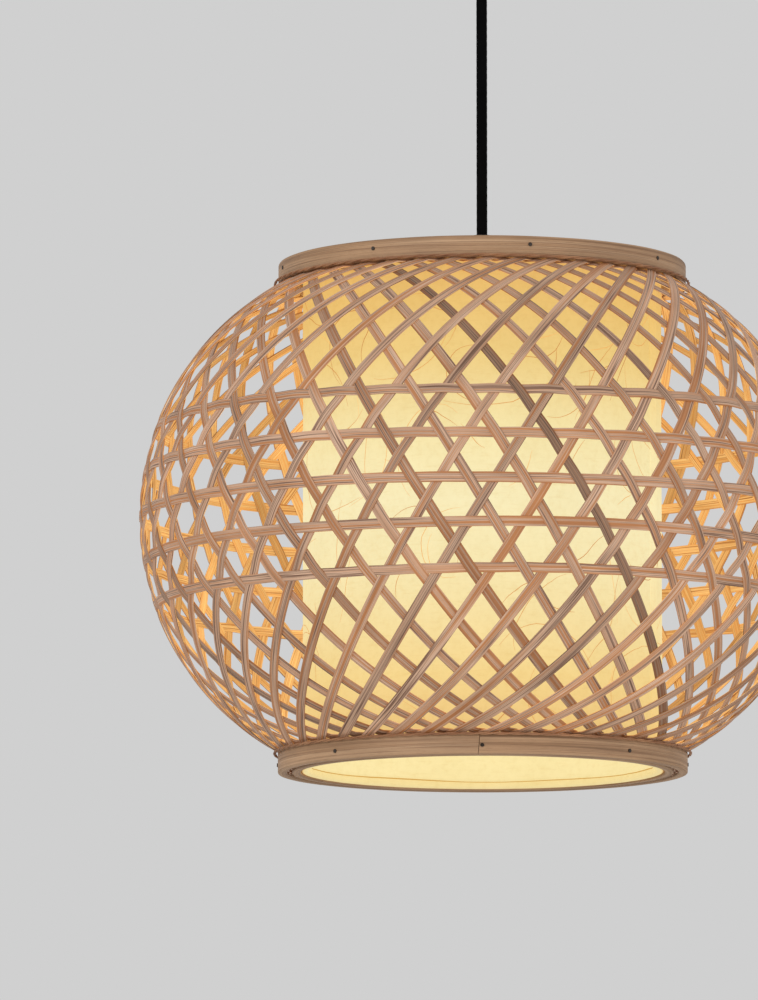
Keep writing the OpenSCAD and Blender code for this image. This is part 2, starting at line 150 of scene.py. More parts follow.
def addSweep(maker, rings, along, across, pathClosed=False, ringClosed=True, tone=0.5, finish=None):
    # joins rings of points into a skin. along has a length for each ring and across one for each point,
    # with one more of either where it closes on itself. finish(i, j) is the material number of side j
    # of ring i. closed rings on an open path get a cap at each end
    first = len(maker["points"])
    count = len(rings[0])
    for ring in rings:
        maker["points"].extend(ring)
        maker["tones"].extend([tone] * count)
    lastRing = len(rings) if pathClosed else len(rings) - 1
    lastPoint = count if ringClosed else count - 1
    for i in range(lastRing):
        for j in range(lastPoint):
            here = first + i * count
            next_ = first + (i + 1) % len(rings) * count
            nextPoint = (j + 1) % count
            maker["faces"].append((here + j, here + nextPoint, next_ + nextPoint, next_ + j))
            maker["uvs"].extend([
                (along[i], across[j]), (along[i], across[j + 1]),
                (along[i + 1], across[j + 1]), (along[i + 1], across[j]),
            ])
            maker["finish"].append(finish(i, j) if finish else 0)
    if ringClosed and not pathClosed:
        for end, order in ((0, range(count - 1, -1, -1)), (len(rings) - 1, range(count))):
            maker["faces"].append(tuple(first + end * count + j for j in order))
            maker["uvs"].extend([(along[end], across[j]) for j in order])
            maker["finish"].append(0)


def makePiece(maker, name, materials, body):
    mesh = bpy.data.meshes.new(name)
    mesh.from_pydata(maker["points"], [], maker["faces"])
    layer = mesh.uv_layers.new(name="length")
    layer.data.foreach_set("uv", [c for uv in maker["uvs"] for c in uv])
    mesh.polygons.foreach_set("material_index", maker["finish"])
    tones = mesh.attributes.new("tone", "FLOAT", "POINT")
    tones.data.foreach_set("value", maker["tones"])
    for material in materials:
        mesh.materials.append(material)
    mesh.shade_smooth()
    mesh.set_sharp_from_angle(angle=math.radians(sharpAngle))
    mesh.update()
    piece = bpy.data.objects.new(name, mesh)
    bpy.context.scene.collection.objects.link(piece)
    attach(piece, body)
    return piece


def running(points):
    # the running length along a list of points
    lengths = [0.0]
    for a, b in zip(points, points[1:]):
        lengths.append(lengths[-1] + (Vector(b) - Vector(a)).length)
    return lengths


def roundPoint(radius, turn, height):
    # a point at a distance from the lamp's axis, turned round it by degrees
    a = math.radians(turn)
    return Vector((radius * math.cos(a), radius * math.sin(a), height))


def waves(turn, parts):
    # waves that run round the lamp, each one (size, number of them in a round, shift in degrees)
    return sum(size * math.sin(math.radians(times * turn + shift)) for size, times, shift in parts)


# ---- cord: a woven sleeve over the flex, up to the ceiling gland
cordLook = {
    "route": [
        (0, 0, -0.220), (0, 0, -0.208), (0, 0, -0.196), (0, 0, -0.184), (0, 0, -0.172), (0, 0, -0.160),
        (0, 0, -0.148), (0, 0, -0.136), (0, 0, -0.124), (0, 0, -0.112), (0, 0, -0.100), (0, 0, -0.088),
        (0, 0, -0.076), (0, 0, -0.064), (0, 0, -0.052), (0, 0, -0.0363),
    ],
    "diameter": 0.0063,
    "sides": 48,
    "stepLength": 0.0006,
    "strands": 16,  # strands in the braid that lean one way
    "lay": 0.011,  # length in which a strand goes round once
    "relief": 0.00012,
    "black": (4, 4, 5),
    "worn": (20, 20, 20),
    "shine": 0.04,
}


def cordFinish():
    material, tree, shader = newMaterial("cordFabric")
    thread = addNoise(tree, scaledPlace(tree, "UV", (900, 9000, 1)), detail=3)
    patch = addNoise(tree, scaledPlace(tree, "UV", (60, 160, 1)), detail=2)
    black = fromScreen(*cordLook["black"])
    colour = addRamp(tree, thread, [(0.3, black), (0.75, fromScreen(*cordLook["worn"]))])
    colour = addMix(tree, patch, colour, black)
    link(tree, colour, shader.inputs["Base Color"])
    addRoughness(tree, shader, thread, 0.75, 0.95)
    shader.inputs["Specular IOR Level"].default_value = cordLook["shine"]
    addBump(tree, shader, thread, 0.5, 0.0002)
    return material


def makeCord():
    # the braid's two ways cross as small raised diamonds on the sleeve
    route = [Vector(p) for p in cordLook["route"]]
    sides = cordLook["sides"]
    radius = cordLook["diameter"] / 2
    stepLength = cordLook["stepLength"]
    bottom, top = route[0].z, route[-1].z
    steps = round((top - bottom) / stepLength)
    maker = newMaker()
    rings = []
    for i in range(steps + 1):
        z = bottom + (top - bottom) * i / steps
        ring = []
        for j in range(sides):
            turn = 360 * j / sides
            ahead = math.radians(cordLook["strands"] / 2 * (turn + 360 * z / cordLook["lay"]))
            back = math.radians(cordLook["strands"] / 2 * (turn - 360 * z / cordLook["lay"]))
            lift = max(math.sin(ahead), math.sin(back)) * cordLook["relief"]
            ring.append(roundPoint(radius - cordLook["relief"] + lift, turn, z))
        rings.append(ring)
    along = [i * stepLength for i in range(steps + 1)]
    across = [2 * math.pi * radius * j / sides for j in range(sides + 1)]
    addSweep(maker, rings, along, across)
    piece = makePiece(maker, "cordSleeve", [cordFinish()], "pendant")
    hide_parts("cord")


makeCord()
print("cord made")


# ---- places that the splints and the hoops share
def middleOf(node):
    low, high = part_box(node)
    return (low + high) / 2


shadeMiddle = middleOf("hoop_3").z
layout = {
    "bellyOut": 0.045,  # how far the centre of the bulging side's arc lies from the axis
    "hoopR": 0.15325,  # radius of that arc where the hoops lie
    "lean": 31.5,  # lean of the splints from upright
    "count": 40,
    "start": 1.5,  # turn of the first right-leaning splint at mid height
    "stripW": 0.006,
    "stripT": 0.0009,
    "rimTurnR": 0.1192,  # where a splint turns in under the rim
    "rightEndR": 0.11245,  # radius at which the right-leaning splints stand in the rim
    "leftEndR": 0.11115,
    "splintEnd": 0.1475,  # height of the splints' ends over the middle
}
stepTurn = 360 / layout["count"]
halfTurn = stepTurn / 2


# ---- bamboo splints and hoops
splintLook = {
    "weave": 0.00051,  # how far a strip bows in or out at a crossing
    "wovenRows": 2.5,  # half steps of turn from mid height up to which a splint weaves with the hoops
    "steps": 52,
    "widthSpread": 0.07,
    "turnSpread": 0.28,
    "swayWave": 26,  # radians of a splint's sway to a metre of height
    "swayTo": 0.13,  # height over the middle at which the sway has died out
    "toneMiddle": 0.36,
    "toneSpread": 0.17,
    "paleLine": (222, 188, 162),
    "warmLine": (194, 132, 82),
    "groove": (112, 76, 54),
    # colours of a strip's back: the pith's own paler colour, raised further with painted light from the bulb
    "inside": (248, 216, 158),
    "insideLine": (230, 178, 112),
    "insideGroove": (190, 128, 66),
    "through": 0.06,  # strength of the glow painted on a splint's skin for the lamp's light that comes out of the strip
    # strength of the glow painted on a strip's back for the bulb's light falling on it
    "paintedInsideGlow": 0.42,
    "rimFrom": 0.1385,  # height over the middle at which a splint goes into the rim
    "darkLeft": {31: 0.95, 28: 0.62},  # tones of two dark splints, by number
    "seed": 7,
}


def bambooStrip(name, skin):
    # fibres run the length of the strip, pale and warm ones side by side. each strip has a tone of its own.
    # the strip also glows, painted light from the lamp
    material, tree, shader = newMaterial(name)
    fibre = addNoise(tree, scaledPlace(tree, "UV", (14, 1900, 1)), detail=5, roughness=0.6)
    streak = addNoise(tree, scaledPlace(tree, "UV", (3.5, 470, 1)), detail=2, roughness=0.4)
    blotch = addNoise(tree, scaledPlace(tree, "UV", (22, 60, 1)), detail=3)
    tone = addNode(tree, "Attribute", attribute_name="tone").outputs["Fac"]
    # a strip's back and lower edges take paler colours and a stronger glow, painted light from the bulb that
    # falls on them
    names = ("paleLine", "warmLine", "groove") if skin else ("inside", "insideLine", "insideGroove")
    pale, warm, groove = (fromScreen(*splintLook[each]) for each in names)
    lines = addRamp(tree, streak, [(0.36, warm), (0.455, pale), (0.495, groove), (0.535, pale), (0.64, warm)])
    fine = addRamp(tree, fibre, [
        (0.34, (0.6, 0.54, 0.47, 1)), (0.5, (1, 1, 1, 1)), (0.7, (1.08, 1.07, 1.05, 1)),
    ])
    clouds = addRamp(tree, blotch, [(0.35, (0.84, 0.82, 0.8, 1)), (0.65, (1.04, 1.04, 1.04, 1))])
    own = addRamp(tree, tone, [
        (0.0, (1.08, 1.07, 1.06, 1)), (0.5, (0.8, 0.77, 0.74, 1)), (1.0, (0.4, 0.35, 0.3, 1)),
    ])
    colour = addMix(tree, 0.75, lines, fine, "MULTIPLY")
    colour = addMix(tree, 1.0, colour, clouds, "MULTIPLY")
    colour = addMix(tree, 1.0, colour, own, "MULTIPLY")
    link(tree, colour, shader.inputs["Base Color"])
    # painted light: the emission is a warm glow for the lamp's light coming out of the skin, and on the back
    # for the bulb's light falling on it
    paintedGlowColour = addMix(tree, 1.0, colour, (1.0, 0.64, 0.36, 1) if skin else (1.0, 0.88, 0.7, 1), "MULTIPLY")
    link(tree, paintedGlowColour, shader.inputs["Emission Color"])
    shader.inputs["Emission Strength"].default_value = splintLook["through" if skin else "paintedInsideGlow"]
    addRoughness(tree, shader, streak, 0.46 if skin else 0.6, 0.66 if skin else 0.8)
    addBump(tree, shader, fibre, 0.35, 0.0003)
    return material


splintSkin = bambooStrip("splintSkin", True)
splintLitBack = bambooStrip("splintLitBack", False)
stripBack = (4, 5, 6)  # the sides of a strip's section that the bulb lights, the flat back and both lower edges, which take the finish with painted light from the bulb


def stripSection(width, thickness):
    # a crowned outer face, soft edges and a flat back
    w, t = width / 2, thickness / 2
    return [
        (-w * 0.95, t * 0.72), (-w * 0.5, t), (w * 0.5, t), (w * 0.95, t * 0.72),
        (w, -t * 0.3), (w * 0.94, -t), (-w * 0.94, -t), (-w, -t * 0.3),
    ]


def sectionLengths(section):
    closed = [Vector((x, y, 0)) for x, y in section + section[:1]]
    return running(closed)


def crossingWave(turned, sign):
    # bow of a splint that has gone round by turned degrees since mid height. a right-leaning one (sign 1)
    # goes over the left-leaning ones and under the hoops, a left-leaning one the other way about. past the
    # rows with hoops the right-leaning ones just lie outside the left-leaning ones
    if abs(turned) > splintLook["wovenRows"] * halfTurn:
        return sign * splintLook["weave"]
    return -sign * splintLook["weave"] * math.cos(2 * math.pi * turned / halfTurn)


def splintProfile(endR):
    # (radius, height, normal outwards, normal upwards) from the middle of the shade to the end in the rim
    last = math.acos((layout["rimTurnR"] - layout["bellyOut"]) / layout["hoopR"])
    steps = splintLook["steps"]
    side = []
    for i in range(steps + 1):
        a = last * i / steps
        r, z = layout["bellyOut"] + layout["hoopR"] * math.cos(a), layout["hoopR"] * math.sin(a)
        side.append((r, z, math.cos(a), math.sin(a)))
    turnZ = side[-1][1]
    side.append((layout["rimTurnR"] - 0.0022, turnZ + 0.0012, 0.42, 0.9))
    side.append((endR + 0.0022, turnZ + 0.0016, 0.5, 0.86))
    side.append((endR + 0.0004, turnZ + 0.0034, 0.95, 0.3))
    side.append((endR, layout["splintEnd"], 1, 0))
    return side


def makeSplints(name, node, sign, start, endR, chance):
    upper = splintProfile(endR)
    stations = [(r, -z, nr, -nz) for r, z, nr, nz in reversed(upper[1:])] + upper
    slope = math.tan(math.radians(layout["lean"]))
    maker = newMaker()
    for k in range(layout["count"]):
        own = chance.uniform(-1, 1)
        width = layout["stripW"] * (1 + splintLook["widthSpread"] * chance.uniform(-1, 1))
        drift = chance.uniform(0, 2 * math.pi)
        tone = min(0.85, max(0.0, chance.gauss(splintLook["toneMiddle"], splintLook["toneSpread"])))
        if sign < 0 and k in splintLook["darkLeft"]:
            tone = splintLook["darkLeft"][k]
        middles = []
        normals = []
        levels = []  # the level way round the rim, for the stretches that stand in it
        for r, z, nr, nz in stations:
            turned = math.degrees(math.asin(z * slope / r))
            sway = splintLook["turnSpread"] * (0.6 * own + 0.4 * math.sin(drift + z * splintLook["swayWave"]))
            turn = start + k * stepTurn + sign * turned + sway * max(0.0, 1 - abs(z) / splintLook["swayTo"])
            inRim = abs(z) > splintLook["rimFrom"]
            bow = 0 if inRim else crossingWave(turned, sign)
            normal = roundPoint(nr, turn, nz).normalized()
            middles.append(roundPoint(r, turn, z + shadeMiddle) + normal * bow)
            normals.append(normal)
            levels.append(roundPoint(1, turn + 90, 0) if inRim else None)
        section = stripSection(width, layout["stripT"])
        rings = []
        for i, (middle, normal) in enumerate(zip(middles, normals)):
            along = middles[min(i + 1, len(middles) - 1)] - middles[max(i - 1, 0)]
            across = levels[i] or along.cross(normal).normalized()
            facing = normal if levels[i] else across.cross(along).normalized()
            rings.append([middle + across * x + facing * y for x, y in section])
        offset = chance.uniform(0, 30)
        lengths = [offset + l for l in running(middles)]
        sideLengths = [offset + l for l in sectionLengths(section)]
        # backs that stand in the rim keep the skin finish, with no painted bulb light, as the rim shades them
        addSweep(maker, rings, lengths, sideLengths, tone=tone,
                 finish=lambda i, j: int(j in stripBack and abs(stations[i][1]) < splintLook["rimFrom"]))
    piece = makePiece(maker, name, [splintSkin, splintLitBack], "pendant")
    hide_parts(node)


hoopLook = {
    "lap": 16,  # degrees by which the ends overlap
    "lapLift": 0.00095,
    "liftFrom": 352,  # degrees gone at which the outer end starts to climb over the inner one
    "liftOver": 8,
    "widthSpread": 0.04,
    "tones": (0.15, 0.45),
    "sags": (0.00045, 0.0003),  # how far a hoop strays up and down, in two waves
    "joints": [118, 64, 97, 141, 82],
    "steps": 720,
    "seed": 21,
}


def makeHoop(number, chance):
    # a strip bent right round, with its ends lapped behind the lamp. it goes over the right-leaning splints
    # and under the left-leaning ones
    node = "hoop_" + str(number)
    row = number - 3
    z = middleOf(node).z - shadeMiddle
    tilt = math.asin(z / layout["hoopR"])
    radius = layout["bellyOut"] + layout["hoopR"] * math.cos(tilt)
    width = layout["stripW"] * (1 + hoopLook["widthSpread"] * chance.uniform(-1, 1))
    section = stripSection(width, layout["stripT"])
    drift = chance.uniform(0, 6)
    whole = 360 + hoopLook["lap"]
    first = hoopLook["joints"][number - 1]
    rings = []
    middles = []
    for i in range(hoopLook["steps"] + 1):
        gone = whole * i / hoopLook["steps"]
        turn = first + gone
        phase = math.radians(360 * (turn - layout["start"] - halfTurn * row) / stepTurn)
        bow = splintLook["weave"] * math.cos(phase)
        lift = hoopLook["lapLift"] * min(1.0, max(0.0, (gone - hoopLook["liftFrom"]) / hoopLook["liftOver"]))
        sag = (hoopLook["sags"][0] * math.sin(math.radians(2 * turn) + drift)
               + hoopLook["sags"][1] * math.sin(math.radians(5 * turn) - drift))
        outward = roundPoint(math.cos(tilt), turn, math.sin(tilt))
        upward = roundPoint(-math.sin(tilt), turn, math.cos(tilt))
        middle = roundPoint(radius, turn, z + shadeMiddle) + outward * (bow + lift) + upward * sag
        middles.append(middle)
        rings.append([middle + upward * -x + outward * y for x, y in section])
    maker = newMaker()
    offset = chance.uniform(0, 30)
    along = [offset + l for l in running(middles)]
    across = [offset + l for l in sectionLengths(section)]
    tone = chance.uniform(*hoopLook["tones"])
    # the hoops' backs take the finish with painted light from the bulb too
    addSweep(maker, rings, along, across, tone=tone, finish=lambda i, j: int(j in stripBack))
    piece = makePiece(maker, "hoop" + str(number), [splintSkin, splintLitBack], "pendant")
    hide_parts(node)


chance = random.Random(splintLook["seed"])
makeSplints("splintsRight", "splints_right", 1, layout["start"], layout["rightEndR"], chance)
makeSplints("splintsLeft", "splints_left", -1, layout["start"] + halfTurn, layout["leftEndR"], chance)
hoopChance = random.Random(hoopLook["seed"])
for number in range(1, 6):
    makeHoop(number, hoopChance)
print("weave made")


# ---- rims: two bent bands at each end of the shade, with the splint ends between them
rimLook = {
    "edge": 0.0009,  # rounding of the bands' edges
    "steps": 360,
    "gap": 0.16,  # degrees left open at a band's joint
    "slant": 0.5,  # degrees that the joint leans
    "waver": [(0.00008, 7, 0), (0.00008, 17, 40)],
    "outerT": 0.0054,
    "innerT": 0.005,
    "grainShift": 3.7,  # metres of shift in the grain from one band to the next
    "pale": (200, 166, 132),
    "plain": (175, 138, 103),
    "dark": (130, 96, 65),
    "joints": {
        "top_outer_band": 128, "top_inner_band": 30, "bottom_outer_band": -91.5, "bottom_inner_band": 152,
    },
}


def rimFinish():
    material, tree, shader = newMaterial("rimBamboo")
    grain = addNoise(tree, scaledPlace(tree, "UV", (9, 1500, 1)), detail=6, roughness=0.62)
    streak = addNoise(tree, scaledPlace(tree, "UV", (3.2, 330, 1)), detail=3)
    cloud = addNoise(tree, scaledPlace(tree, "UV", (16, 40, 1)), detail=3)
    pores = addNoise(tree, scaledPlace(tree, "UV", (120, 3800, 1)), detail=2)
    colour = addRamp(tree, streak, [
        (0.28, fromScreen(*rimLook["dark"])), (0.47, fromScreen(*rimLook["plain"])),
        (0.72, fromScreen(*rimLook["pale"])),
    ])
    lines = addRamp(tree, grain, [
        (0.36, (0.5, 0.44, 0.38, 1)), (0.5, (1, 1, 1, 1)), (0.7, (1.12, 1.1, 1.06, 1)),
    ])
    marks = addRamp(tree, pores, [(0.3, (0.55, 0.48, 0.4, 1)), (0.42, (1, 1, 1, 1))])
    clouds = addRamp(tree, cloud, [(0.3, (0.84, 0.82, 0.8, 1)), (0.7, (1.06, 1.05, 1.04, 1))])
    colour = addMix(tree, 0.75, colour, lines, "MULTIPLY")
    colour = addMix(tree, 0.6, colour, marks, "MULTIPLY")
    colour = addMix(tree, 1.0, colour, clouds, "MULTIPLY")
    link(tree, colour, shader.inputs["Base Color"])
    addRoughness(tree, shader, streak, 0.5, 0.72)
    addBump(tree, shader, grain, 0.4, 0.0004)
    return material


rimBamboo = rimFinish()


def roundedBox(inner, outer, low, high, edge):
    # the outline of a band's section as (radius, height), four points to a corner
    corners = [(outer - edge, high - edge, 90), (outer - edge, low + edge, 0),
               (inner + edge, low + edge, -90), (inner + edge, high - edge, 180)]
    outline = []
    for r, z, first in corners:
        for k in range(4):
            a = math.radians(first - 30 * k)
            outline.append((r + edge * math.cos(a), z + edge * math.sin(a)))
    return outline


def makeBand(node):
    low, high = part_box(node)
    outer = high.x
    thickness = rimLook["outerT"] if "outer" in node else rimLook["innerT"]
    outline = roundedBox(outer - thickness, outer, low.z, high.z, rimLook["edge"])
    middle = (low.z + high.z) / 2
    joint = rimLook["joints"][node]
    rings = []
    for i in range(rimLook["steps"] + 1):
        gone = (360 - rimLook["gap"]) * i / rimLook["steps"]
        ring = []
        for r, z in outline:
            turn = joint + gone + rimLook["slant"] * (z - middle) / (high.z - low.z)
            ring.append(roundPoint(r + waves(turn, rimLook["waver"]), turn, z))
        rings.append(ring)
    along = [math.radians(360) * outer * i / rimLook["steps"] for i in range(rimLook["steps"] + 1)]
    across = running([(r, z, 0) for r, z in outline + outline[:1]])
    maker = newMaker()
    offset = rimLook["grainShift"] * (1 + list(rimLook["joints"]).index(node))
    addSweep(maker, rings, [offset + a for a in along], [offset + a for a in across])
    piece = makePiece(maker, node.replace("_", ""), [rimBamboo], "pendant")
    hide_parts(node)


for node in rimLook["joints"]:
    makeBand(node)
print("rims made")


# ---- bindings: two thin strands twisted together, laid where the weave meets each rim
bindingLook = {
    "strandR": 0.0005,
    "apart": 0.00042,  # from the middle of the pair to the middle of a strand
    "inset": 0.0012,  # from the outside of the space for the binding to the middle of the pair
    "twists": 41,
    "steps": 820,
    "sides": 7,
    "pale": (188, 138, 98),
    "dark": (130, 84, 54),
}


def bindingFinish():
    material, tree, shader = newMaterial("bindingRattan")
    fibre = addNoise(tree, scaledPlace(tree, "UV", (40, 2400, 1)), detail=4)
    patch = addNoise(tree, scaledPlace(tree, "UV", (30, 30, 1)), detail=2)
    dark, pale = fromScreen(*bindingLook["dark"]), fromScreen(*bindingLook["pale"])
    colour = addRamp(tree, fibre, [(0.35, dark), (0.62, pale)])
    stains = addRamp(tree, patch, [(0.3, (0.6, 0.56, 0.52, 1)), (0.7, (1, 1, 1, 1))])
    colour = addMix(tree, 0.7, colour, stains, "MULTIPLY")
    link(tree, colour, shader.inputs["Base Color"])
    addRoughness(tree, shader, fibre, 0.5, 0.75)
    addBump(tree, shader, fibre, 0.4, 0.0003)
    return material


bindingRattan = bindingFinish()


def makeBinding(name, node):
    low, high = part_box(node)
    ringR = (high.x - low.x) / 2 - bindingLook["inset"]
    z = (low.z + high.z) / 2
    strandR, sides = bindingLook["strandR"], bindingLook["sides"]
    maker = newMaker()
    for strand in (0, 180):
        rings = []
        for i in range(bindingLook["steps"]):
            turn = 360 * i / bindingLook["steps"]
            twist = math.radians(strand + bindingLook["twists"] * turn)
            centreR = ringR + bindingLook["apart"] * math.cos(twist)
            centreZ = z + bindingLook["apart"] * math.sin(twist)
            ring = []
            for j in range(sides):
                a = -2 * math.pi * j / sides
                r, height = centreR + strandR * math.cos(a), centreZ + strandR * math.sin(a)
                ring.append(roundPoint(r, turn, height))
            rings.append(ring)
        along = [2 * math.pi * ringR * i / bindingLook["steps"] for i in range(bindingLook["steps"] + 1)]
        across = [2 * math.pi * strandR * j / sides for j in range(sides + 1)]
        addSweep(maker, rings, along, across, pathClosed=True)
    piece = makePiece(maker, name, [bindingRattan], "pendant")
    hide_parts(node)


makeBinding("topBinding", "top_binding")
makeBinding("bottomBinding", "bottom_binding")
print("bindings made")


# ---- diffuser: one sheet of fibre paper rolled into a tube, glued at a seam, hemmed over a wire at each end
sheetLook = {
    "thickness": 0.0006,
    "steps": 288,
    "rows": 60,
    "ripple": 0.00028,
    "glow": [  # share of the height from the bottom, and the colour that the lit paper shows there
        (0.0, (226, 190, 120)), (0.16, (236, 212, 140)), (0.37, (238, 232, 182)), (0.5, (240, 238, 194)),
        (0.64, (237, 229, 174)), (0.78, (228, 202, 126)), (0.9, (224, 187, 104)), (1.0, (226, 176, 98)),
    ],
    "glowInside": [
        (0.0, (238, 224, 168)), (0.3, (240, 228, 174)), (0.7, (238, 218, 156)), (1.0, (230, 196, 122)),
    ],
    "glowStrength": 0.8,
    "paper": (236, 214, 160),
    "paperDim": (0.34, 0.34, 0.34, 1),  # how much of the room's light the paper throws back
    "seamTurn": -19,
    "seamWidth": 0.012,
    "seamLift": 0.00034,  # how far the lap stands out from the sheet
    "seamGap": 0.00003,
    "seamShort": 0.0004,  # how far short of the sheet's ends the lap stops
    "seamSection": [  # share of half the width, and share of the lift
        (-1, 1), (-0.4, 1), (0.2, 1), (0.8, 1), (1, 0.15), (1, 0), (0.2, 0), (-0.4, 0), (-1, 0),
    ],
    "seamTint": (1.04, 1.03, 1.02, 1),
    "fibres": 150,
    "fibreR": 0.00019,
    "fibreSteps": 18,
    "fibreLength": (0.015, 0.085),
    "fibreCurl": 26,  # radians of bend to a metre
    "fibreJitter": 0.09,
    "fibreMargin": 0.003,  # the least distance from a fibre to the sheet's ends
    "fibreGlow": 0.55,
    "fibreColour": (168, 104, 44),
    "fibrePale": (228, 194, 124),
    "seed": 4,
}
sheetLow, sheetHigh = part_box("diffuser")
sheetR = sheetHigh.x


def glowByHeight(tree, look):
    # the lit paper is palest about level with the bulb and warmer towards both ends
    place = addNode(tree, "TexCoord").outputs["Object"]
    split = addNode(tree, "SeparateXYZ")
    link(tree, place, split.inputs["Vector"])
    share = addNode(tree, "MapRange")
    share.inputs["From Min"].default_value = sheetLow.z
    share.inputs["From Max"].default_value = sheetHigh.z
    link(tree, split.outputs["Z"], share.inputs["Value"])
    stops = [(at, fromScreen(*colour)) for at, colour in sheetLook[look]]
    return addRamp(tree, share.outputs["Result"], stops)


def paperFinish(name, look="glow", shade=1.0, tint=(1, 1, 1, 1)):
    material, tree, shader = newMaterial(name)
    pulp = addNoise(tree, scaledPlace(tree, "Object", (260, 260, 260)), detail=5, roughness=0.65)
    cloud = addNoise(tree, scaledPlace(tree, "Object", (26, 26, 26)), detail=3)
    hair = addNoise(tree, scaledPlace(tree, "Object", (90, 90, 700)), detail=4)
    glow = glowByHeight(tree, look)
    clouds = addRamp(tree, cloud, [(0.3, (0.97, 0.96, 0.93, 1)), (0.7, (1.02, 1.02, 1.02, 1))])
    specks = addRamp(tree, pulp, [
        (0.32, (0.97, 0.95, 0.91, 1)), (0.5, (1, 1, 1, 1)), (0.68, (1.02, 1.02, 1.03, 1)),
    ])
    hairs = addRamp(tree, hair, [(0.34, (0.96, 0.93, 0.88, 1)), (0.44, (1, 1, 1, 1))])
    glow = addMix(tree, 1.0, glow, clouds, "MULTIPLY")
    glow = addMix(tree, 1.0, glow, specks, "MULTIPLY")
    glow = addMix(tree, 0.7, glow, hairs, "MULTIPLY")
    glow = addMix(tree, 1.0, glow, tint, "MULTIPLY")
    paper = addMix(tree, 1.0, specks, fromScreen(*sheetLook["paper"]), "MULTIPLY")
    paper = addMix(tree, 1.0, paper, tint, "MULTIPLY")
    paper = addMix(tree, 1.0, paper, sheetLook["paperDim"], "MULTIPLY")
    link(tree, paper, shader.inputs["Base Color"])
    # the emission is painted light, the bulb's light coming out of the paper, palest level with the bulb
    link(tree, glow, shader.inputs["Emission Color"])
    shader.inputs["Emission Strength"].default_value = sheetLook["glowStrength"] * shade
    addRoughness(tree, shader, pulp, 0.7, 0.9)
    addBump(tree, shader, pulp, 0.3, 0.0002)
    return material


def sheetRipple(turn, z):
    # the paper draws in very slightly between its wires, more in some places than in others
    share = (z - sheetLow.z) / (sheetHigh.z - sheetLow.z)
    hold = math.sin(math.pi * min(1, max(0, share)))
    return -sheetLook["ripple"] * hold * (1 + math.sin(math.radians(5 * turn)) * math.cos(12 * share)
                                          + 0.5 * math.sin(math.radians(11 * turn + 30)))


paperLit = paperFinish("paperLit")
paperInside = paperFinish("paperInside", "glowInside")


def makeSheet():
    rows = sheetLook["rows"]
    t = sheetLook["thickness"]
    heights = [sheetLow.z + (sheetHigh.z - sheetLow.z) * k / rows for k in range(rows + 1)]
    rings = []
    for i in range(sheetLook["steps"]):
        turn = 360 * i / sheetLook["steps"]
        outside = [roundPoint(sheetR + sheetRipple(turn, z), turn, z) for z in reversed(heights)]
        inside = [roundPoint(sheetR - t + sheetRipple(turn, z), turn, z) for z in heights]
        rings.append(outside + inside)
    along = [2 * math.pi * sheetR * i / sheetLook["steps"] for i in range(sheetLook["steps"] + 1)]
    outline = [(sheetR, z, 0) for z in reversed(heights)] + [(sheetR - t, z, 0) for z in heights]
    across = running(outline + outline[:1])
    maker = newMaker()
    addSweep(maker, rings, along, across, pathClosed=True, finish=lambda i, j: int(j > rows))
    piece = makePiece(maker, "diffuserSheet", [paperLit, paperInside], "pendant")
    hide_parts("diffuser")


def makeSeam():
    # the lapped edge of the sheet, a little paler where two layers lie together
    half = math.degrees(sheetLook["seamWidth"] / 2 / sheetR)
    rows = sheetLook["rows"]
    low, high = sheetLow.z + sheetLook["seamShort"], sheetHigh.z - sheetLook["seamShort"]
    heights = [low + (high - low) * k / rows for k in range(rows + 1)]
    foot = sheetR + sheetLook["seamGap"]
    maker = newMaker()
    rings = []
    for z in heights:
        wander = 0.06 * math.sin(z * 60) + 0.05 * math.sin(z * 173)
        ring = []
        for part, out in sheetLook["seamSection"]:
            turn = sheetLook["seamTurn"] + half * part + wander
            ring.append(roundPoint(foot + sheetLook["seamLift"] * out + sheetRipple(turn, z), turn, z))
        rings.append(ring)
    across = [sheetLook["seamWidth"] * k / 4 for k in range(10)]
    addSweep(maker, rings, [z - sheetLow.z for z in heights], across)
    seamPaper = paperFinish("seamPaper", tint=sheetLook["seamTint"])
    piece = makePiece(maker, "diffuserSeam", [seamPaper], "pendant")
    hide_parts("diffuser_seam")


def fibreFinish():
    material, tree, shader = newMaterial("paperFibre")
    tone = addNode(tree, "Attribute", attribute_name="tone").outputs["Fac"]
    grain = addNoise(tree, scaledPlace(tree, "Object", (900, 900, 900)), detail=2)
    low = fromScreen(*sheetLook["fibreColour"])
    high = fromScreen(*sheetLook["fibrePale"])
    colour = addRamp(tree, tone, [(0.0, low), (1.0, high)])
    link(tree, colour, shader.inputs["Base Color"])
    # the fibres' emission is painted light, the lamp's light coming out of the paper under them
    link(tree, addMix(tree, grain, colour, low), shader.inputs["Emission Color"])
    shader.inputs["Emission Strength"].default_value = sheetLook["fibreGlow"]
    addRoughness(tree, shader, grain, 0.6, 0.9)
    return material


